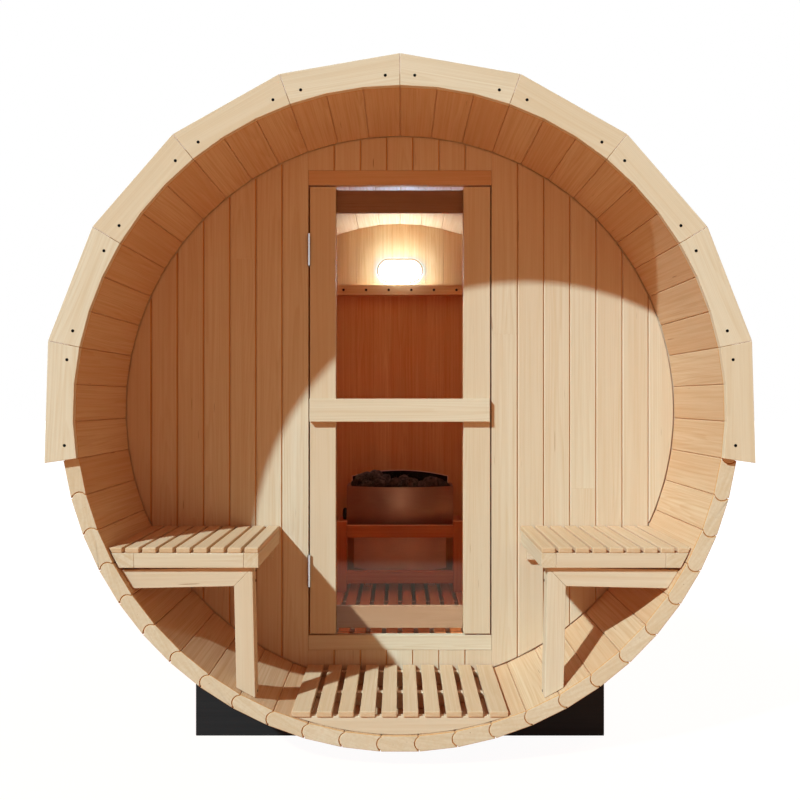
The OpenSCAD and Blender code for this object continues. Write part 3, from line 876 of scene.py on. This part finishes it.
for node, side in (("front_trim", 0), ("rear_trim", 1)):
    face_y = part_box(node)[side].y
    bm = copy_of(node)
    lean_ends(bm, face_y, mitre_lean)
    ease(bm, sharp_edges(bm), plain_ease)
    lay_grain(bm)
    sawn_end = bm.faces.layers.float["end"]
    for face in bm.faces:
        face.material_index = 1 if face[sawn_end] > 0.5 else 0
    finish_piece(bm, node + "_boards", "barrel", [pale_pine, joint_and_shade_pine], "pale_pine", node)
for node, body, finish in (
    ("porch_floor_bearers", "barrel", pine),
    ("cabin_floor_bearers", "barrel", pine),
    ("left_bench_frame", "barrel", pine),
    ("left_bench_leg", "barrel", pine),
    ("right_bench_frame", "barrel", pine),
    ("right_bench_leg", "barrel", pine),
    ("door_stops", "barrel", pine),
    # The header stands in the porch's shade and gets the darker finish of the staves, which is painted shade.
    ("door_header", "barrel", stave_pine),
    ("door_sill", "barrel", pine),
    # The heater's guard gets the painted-shade finish.
    ("heater_guard", "barrel", cabin_shade_pine),
    ("back_wall_rail", "barrel", back_pine),
    ("door_hinge_stile", "door", pine),
    ("door_free_stile", "door", pine),
    ("door_top_rail", "door", rail_pine),
    ("door_bottom_rail", "door", rail_pine),
):
    spare = stile_spare if node == "door_free_stile" else 0.0
    board_piece(node, node + "_boards", body, finish, "pine", plain_ease, spare=spare)
board_piece("door_handle", "door_handle_board", "door", pale_pine, "pale_pine", 0.0018, 3)
for node in ("front_cradle", "rear_cradle"):
    board_piece(node, node + "_boards", "barrel", black_stain, "black_stain", 0.0025, 2, level)

# %% [markdown]
# ## Metal finishes
#
# Steel is bright only where it mirrors something bright. What makes it look like sheet metal is the brushing:
# fine lines that change the roughness and tilt the surface a little. They come from noise that is stretched.


# %% Steel and plastic
def brushed_finish(name, colour, roughness, stretch, depth, metallic=1.0):
    """Metal with fine lines: noise squeezed by the stretch shows in its colour, gloss and relief."""
    material, tree, shader = new_finish(name)
    place = tree.nodes.new("ShaderNodeTexCoord").outputs["Object"]
    lines = stretched(tree, place, stretch, 3.0, 0.6)
    smears = stretched(tree, place, (9.0, 9.0, 9.0), 3.0)
    shade = number(tree, "MULTIPLY_ADD", smears, 0.5, number(tree, "MULTIPLY", lines, 0.5))
    darker = tuple(part * 0.78 for part in colour[:3]) + (1.0,)
    feed(tree, shader.inputs["Base Color"], tint(tree, ramp(tree, shade, 0.3, 0.7), darker, colour))
    polish = ramp(tree, shade, 0.3, 0.7, roughness + 0.10, roughness - 0.05)
    feed(tree, shader.inputs["Roughness"], polish)
    feed(tree, shader.inputs["Normal"], bump_normal(tree, lines, 0.25, depth))
    set_values(shader, Metallic=metallic)
    return material


sheet_lines = (14.0, 14.0, 900.0)
# The heater's steel is tinted red-brown: painted reflection of the warm wood round it, on top of what the
# steel really mirrors.
heater_steel = brushed_finish("heater_steel", srgb(182, 142, 119), 0.36, sheet_lines, 0.0002)
# Painted light: the heater's foot and the shield's rim get a near-white steel that is hardly metallic, so
# that they read lighter than the shade they stand in.
painted_light_steel = brushed_finish("painted_light_steel", srgb(246, 234, 222), 0.55, sheet_lines, 0.0002, 0.10)
band_steel = brushed_finish("band_steel", srgb(190, 190, 190), 0.28, (20.0, 700.0, 20.0), 0.0001)
hinge_steel = brushed_finish("hinge_steel", srgb(205, 205, 207), 0.26, (500.0, 500.0, 30.0), 0.0001)
print("metals:", heater_steel.name, band_steel.name, hinge_steel.name)


# %% Dark plastic, enamel and stone
def speckled_finish(name, dark, light, scale, roughness, depth, gloss=0.3):
    """A dull surface of two colours, mixed by coarse and fine noise."""
    material, tree, shader = new_finish(name)
    place = tree.nodes.new("ShaderNodeTexCoord").outputs["Object"]
    coarse = stretched(tree, place, (scale, scale, scale), 5.0, 0.65)
    fine = stretched(tree, place, (scale * 9, scale * 9, scale * 9))
    grit = number(tree, "MULTIPLY_ADD", fine, 0.4, number(tree, "MULTIPLY", coarse, 0.6))
    feed(tree, shader.inputs["Base Color"], tint(tree, ramp(tree, grit, 0.35, 0.68), dark, light))
    dullness = ramp(tree, grit, 0.3, 0.7, roughness - 0.06, roughness + 0.06)
    feed(tree, shader.inputs["Roughness"], dullness)
    feed(tree, shader.inputs["Normal"], bump_normal(tree, grit, 0.6, depth))
    set_values(shader, Specular_IOR_Level=gloss)
    return material


lava = speckled_finish("lava", srgb(13, 11, 11), srgb(106, 94, 87), 60.0, 0.86, 0.004, 0.1)
black_plastic = speckled_finish("black_plastic", srgb(16, 16, 17), srgb(26, 26, 27), 300.0, 0.42, 0.0001)
screw_black = speckled_finish("screw_black", srgb(8, 7, 7), srgb(16, 14, 14), 400.0, 0.6, 0.0001, 0.05)
shield_face_black = speckled_finish("shield_face_black", srgb(14, 13, 13), srgb(24, 22, 21), 60.0, 0.7, 0.0002, 0.05)
print("dark finishes:", lava.name, black_plastic.name, shield_face_black.name)

# %% [markdown]
# ## Glass and lamp
#
# The door's pane is toned bronze. Glass in a path tracer stops lamps from shining through it, unless the rays
# that look for lamps are let past. So the shader is mixed with a transparent one for those rays, in the same
# tone. A thin share of mirror is laid over its outer faces. The lamp behind the pane is an opal cover that
# glows, and the sides of its plate light the wall close to it.

# %% Glass and lamp
sheen_share = 0.030
bronze_glass, glass_tree, pane = new_finish("bronze_glass")
set_values(pane, Base_Color=(0.86, 0.70, 0.59, 1), Roughness=0.0, IOR=1.1, Transmission_Weight=1.0)
let_past = glass_tree.nodes.new("ShaderNodeBsdfTransparent")
set_values(let_past, Color=(0.927, 0.825, 0.748, 1))
sheen = glass_tree.nodes.new("ShaderNodeBsdfGlossy")
set_values(sheen, Roughness=0.0, Color=(1.0, 0.88, 0.68, 1))
glass_path = glass_tree.nodes.new("ShaderNodeLightPath")
inner_face = glass_tree.nodes.new("ShaderNodeNewGeometry").outputs["Backfacing"]
mirror_share = number(glass_tree, "SUBTRACT", 1.0, inner_face)
mirror_share = number(glass_tree, "MULTIPLY", mirror_share, sheen_share)
glass_look = blend(glass_tree, glass_path.outputs["Is Shadow Ray"], pane.outputs[0], let_past.outputs[0])
glass_look = blend(glass_tree, mirror_share, glass_look, sheen.outputs[0])
show(glass_tree, "Material Output", glass_look)

opal_white = (0.9, 0.88, 0.84, 1)
lamp_opal, _, opal = new_finish("lamp_opal")
set_values(opal, Base_Color=opal_white, Roughness=0.35)
set_values(opal, Emission_Color=(0.76, 1.19, 1.56, 1), Emission_Strength=56.0)
lamp_rim, _, rim = new_finish("lamp_rim")
set_values(rim, Base_Color=srgb(92, 62, 38), Specular_IOR_Level=0.1)
lamp_side, _, side_glow = new_finish("lamp_side")
set_values(side_glow, Base_Color=opal_white)
set_values(side_glow, Emission_Color=(0.30, 1.14, 2.90, 1), Emission_Strength=9.0)
print("glass tone", [round(part, 2) for part in pane.inputs["Base Color"].default_value])


# %% Carrying the glass, lamp and steel over
pane_drop = 0.001


def round_off(bm, least=30):
    """Smooth shading with crisp edges."""
    for face in bm.faces:
        face.smooth = True
    for edge in bm.edges:
        edge.smooth = edge.is_manifold and edge.calc_face_angle() < math.radians(least)


def metal_piece(node, name, body, finish, slot, width, segments=2):
    """A CAD node in metal, plastic or glass, with eased edges where a width is given."""
    bm = copy_of(node)
    if width:
        ease(bm, sharp_edges(bm), width, segments)
    round_off(bm)
    finish_piece(bm, name, body, [finish], slot, node)


bm = copy_of("door_glass")
pane_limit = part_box("door_top_rail")[1].z
for vert in bm.verts:
    if vert.co.z > pane_limit:
        vert.co.z = pane_limit - pane_drop
ease(bm, sharp_edges(bm), 0.0008, 1)
finish_piece(bm, "door_pane", "door", [bronze_glass], "bronze_glass", "door_glass")
metal_piece("lamp_glass", "lamp_cover", "barrel", lamp_opal, "lamp_opal", 0)
bm = copy_of("lamp_base")
round_off(bm)
for face in bm.faces:
    face.material_index = 1 if abs(face.normal.y) < 0.5 else 0
finish_piece(bm, "lamp_plate", "barrel", [lamp_rim, lamp_side], "lamp_frame", "lamp_base")
metal_piece("wall_hinge_leaves", "wall_hinge_plates", "barrel", hinge_steel, "hinge_steel", 0)
metal_piece("door_hinge_leaves", "door_hinge_plates", "door", hinge_steel, "hinge_steel", 0)
metal_piece("steel_bands", "steel_straps", "barrel", band_steel, "band_steel", 0)
metal_piece("heater_casing", "heater_front", "barrel", heater_steel, "heater_steel", 0.0008)
# The heater's foot is in the painted-light steel.
metal_piece("heater_base", "heater_foot", "barrel", painted_light_steel, "heater_steel", 0)
metal_piece("heater_dial", "heater_knob", "barrel", black_plastic, "black_plastic", 0.009, 4)

# %% [markdown]
# ## The heater's bowl and stones
#
# Behind the stones stands a bent shield with a rolled rim. The side that faces them is black. The
# stones are broken lava, each one a ball that is pushed in and out by noise and flattened on a few sides.
# A lower layer fills the bowl, and larger ones are heaped on it, highest at the left.

# %% Shield
bm = copy_of("heater_shield")
round_off(bm)
for face in bm.faces:
    face.material_index = 1 if face.normal.y < -0.25 else 0
shield_finishes = [heater_steel, shield_face_black]
finish_piece(bm, "heater_back_shield", "barrel", shield_finishes, "heater_steel", "heater_shield")

# %% The shield's rolled rim
rim_radius = 0.0022
shield_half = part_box("heater_shield")[1].x
shield_arc = 0.5022
shield_middle_y = 0.2509
crown_arc = 1.101
crown_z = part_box("heater_shield")[1].z - crown_arc
casing_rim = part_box("heater_casing")[1].z


def rim_point(x):
    """A point on the top edge of the shield."""
    y = shield_middle_y + math.sqrt(shield_arc**2 - x**2)
    return Vector((x, y, crown_z + math.sqrt(crown_arc**2 - x**2)))


def add_tube(bm, path, radius):
    """A round bar along a path: a circle at each point, joined to the one before."""
    last = None
    for i, point in enumerate(path):
        before, after = path[max(i - 1, 0)], path[min(i + 1, len(path) - 1)]
        turn = upright.rotation_difference((after - before).normalized()).to_matrix().to_4x4()
        place = Matrix.Translation(point) @ turn
        made = bmesh.ops.create_circle(bm, cap_ends=False, segments=8, radius=radius, matrix=place)
        ring = list(dict.fromkeys(edge for vert in made["verts"] for edge in vert.link_edges))
        if last:
            bmesh.ops.bridge_loops(bm, edges=last + ring)
        last = ring


rim_path = [rim_point(shield_half * (i / 20 - 1)) for i in range(41)]
first_foot, last_foot = rim_path[0].copy(), rim_path[-1].copy()
first_foot.z = last_foot.z = casing_rim
bm = bmesh.new()
add_tube(bm, [first_foot] + rim_path + [last_foot], rim_radius)
bmesh.ops.holes_fill(bm, edges=[edge for edge in bm.edges if edge.is_boundary])
bmesh.ops.recalc_face_normals(bm, faces=bm.faces)
round_off(bm, 50)
# The rim is in the painted-light steel, which draws it as a light line.
finish_piece(bm, "heater_shield_rim", "barrel", [painted_light_steel], "heater_steel")

# %% Stones
stone_dice = random.Random(7)
bowl_front, casing_arc = 0.548, 0.514
bowl_back, back_arc = 0.750, 0.5035


def add_stone(bm, place, size):
    """One broken stone."""
    angle = stone_dice.uniform(0, 6.28)
    turn = Matrix.Rotation(angle, 4, Vector([stone_dice.uniform(-1, 1) for _ in range(3)]))
    squash = [stone_dice.uniform(0.72, 1.08) for _ in range(3)]
    made = bmesh.ops.create_icosphere(bm, subdivisions=3, radius=1.0)
    seed = Vector([stone_dice.uniform(0, 50) for _ in range(3)])
    flats = [Vector([stone_dice.gauss(0, 1) for _ in range(3)]).normalized() for _ in range(7)]
    cut = [stone_dice.uniform(0.62, 0.86) for _ in flats]
    for vert in made["verts"]:
        point = vert.co.copy()
        for flat, depth in zip(flats, cut):
            over = point.dot(flat) - depth
            if over > 0:
                point -= flat * over * 0.85
        bumps = 0.12 * noise.noise(vert.co * 2.3 + seed) + 0.07 * noise.noise(vert.co * 6.0 + seed)
        point *= 1.0 + bumps
        vert.co = Vector([point[i] * squash[i] * size for i in range(3)])
    bmesh.ops.transform(bm, matrix=Matrix.Translation(place) @ turn, verts=made["verts"])


def bowl_depth(x):
    """The front and back of the room for stones at a place across the bowl."""
    front = bowl_front + casing_arc - math.sqrt(casing_arc**2 - x**2)
    back = bowl_back - back_arc + math.sqrt(back_arc**2 - x**2)
    return front, back


bm = bmesh.new()
heap = [
    (-0.172, 0.35, 0.620, 0.045), (-0.112, 0.45, 0.637, 0.041), (-0.200, 0.60, 0.606, 0.030),
    (-0.140, 0.10, 0.606, 0.034), (-0.150, 0.75, 0.626, 0.040), (-0.085, 0.20, 0.610, 0.036),
    (-0.060, 0.60, 0.616, 0.036), (-0.020, 0.30, 0.606, 0.034), (0.012, 0.60, 0.611, 0.036),
    (0.045, 0.35, 0.609, 0.034), (0.065, 0.70, 0.602, 0.032), (0.100, 0.30, 0.595, 0.030),
    (0.137, 0.40, 0.606, 0.041), (0.177, 0.45, 0.604, 0.035), (0.160, 0.75, 0.602, 0.034),
    (0.202, 0.60, 0.592, 0.025), (-0.020, 0.85, 0.606, 0.034), (0.100, 0.80, 0.598, 0.032),
]
for x, depth, z, size in heap:
    front, back = bowl_depth(x)
    add_stone(bm, Vector((x, front + size + depth * (back - front - 2 * size), z)), size)
for row in range(4):
    for column in range(9):
        x = -0.200 + 0.050 * column
        front, back = bowl_depth(x)
        y = front + 0.032 + (back - front - 0.064) * row / 3
        place = Vector((x, y, 0.566)) + Vector([stone_dice.uniform(-0.004, 0.004) for _ in range(3)])
        add_stone(bm, place, stone_dice.uniform(0.022, 0.027))
round_off(bm, 42)
finish_piece(bm, "lava_stones", "barrel", [lava], "stones", "heater_stones")

# %% [markdown]
# ## Screws
#
# Black countersunk screws hold the trim, two to a board. The rail under the lamp has six, and each bench leg
# three. One screw head is turned from a short outline with spin, with a round socket in the middle. It
# stands a hair above the wood, so that the two never share a face.


# %% Screw heads
def screw_head():
    """One flat head with a socket, turned from its outline. It has a radius of one and faces up."""
    outline = ((0.0, 0.03), (0.34, 0.03), (0.42, 0.11), (0.86, 0.11), (1.0, 0.05), (1.0, -0.2))
    bm = bmesh.new()
    verts = [bm.verts.new((reach, 0, height)) for reach, height in outline]
    edges = [bm.edges.new(pair) for pair in zip(verts, verts[1:])]
    bmesh.ops.spin(
        bm,
        geom=verts + edges,
        cent=(0, 0, 0),
        axis=(0, 0, 1),
        dvec=(0, 0, 0),
        angle=math.tau,
        steps=16,
        use_merge=True,
    )
    bmesh.ops.remove_doubles(bm, verts=bm.verts, dist=1e-4)
    bmesh.ops.recalc_face_normals(bm, faces=bm.faces)
    if max(bm.faces, key=lambda face: face.calc_center_median().z).normal.z < 0:
        bmesh.ops.reverse_faces(bm, faces=bm.faces)
    head = bpy.data.meshes.new("screw_head")
    bm.to_mesh(head)
    bm.free()
    return head


head_shape = screw_head()


def add_screw(bm, place, outward, radius):
    """A head at a place, facing outward."""
    before = set(bm.verts)
    bm.from_mesh(head_shape)
    verts = [vert for vert in bm.verts if vert not in before]
    turn = upright.rotation_difference(outward).to_matrix().to_4x4()
    size = Matrix.Scale(radius, 4)
    bmesh.ops.transform(bm, matrix=Matrix.Translation(place) @ turn @ size, verts=verts)


print("one screw head has", len(head_shape.polygons), "faces")

# %% Screws of the trim and the rail
trim_screw_reach = 0.886
screw_inset = 2.5
trim_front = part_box("front_trim")[0].y
trim_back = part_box("rear_trim")[1].y
stave_turn = 360 / 55
screws = bmesh.new()
for side in (-1, 1):
    for board in range(5):
        start, stop = board * 3 * stave_turn, (board + 1) * 3 * stave_turn
        for angle in (start + screw_inset, stop - screw_inset):
            x = side * trim_screw_reach * math.sin(math.radians(angle))
            z = barrel_axis.z + trim_screw_reach * math.cos(math.radians(angle))
            add_screw(screws, Vector((x, trim_front, z)), -inward, 0.0042)
            add_screw(screws, Vector((x, trim_back, z)), inward, 0.0042)
rail_low, rail_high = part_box("back_wall_rail")
for i in range(6):
    place = Vector((0.105 * (i - 2.5), rail_low.y, (rail_low.z + rail_high.z) / 2))
    add_screw(screws, place, -inward, 0.0060)
for side in (-1, 1):
    leg_low, leg_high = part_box("left_bench_leg" if side < 0 else "right_bench_leg")
    inner_x = leg_high.x if side < 0 else leg_low.x
    for y, z in ((-0.866, 0.529), (-0.866, 0.502), (-0.840, 0.196)):
        add_screw(screws, Vector((inner_x, y, z)), Vector((-side, 0, 0)), 0.0038)
round_off(screws)
finish_piece(screws, "screws", "barrel", [screw_black], "black_plastic")
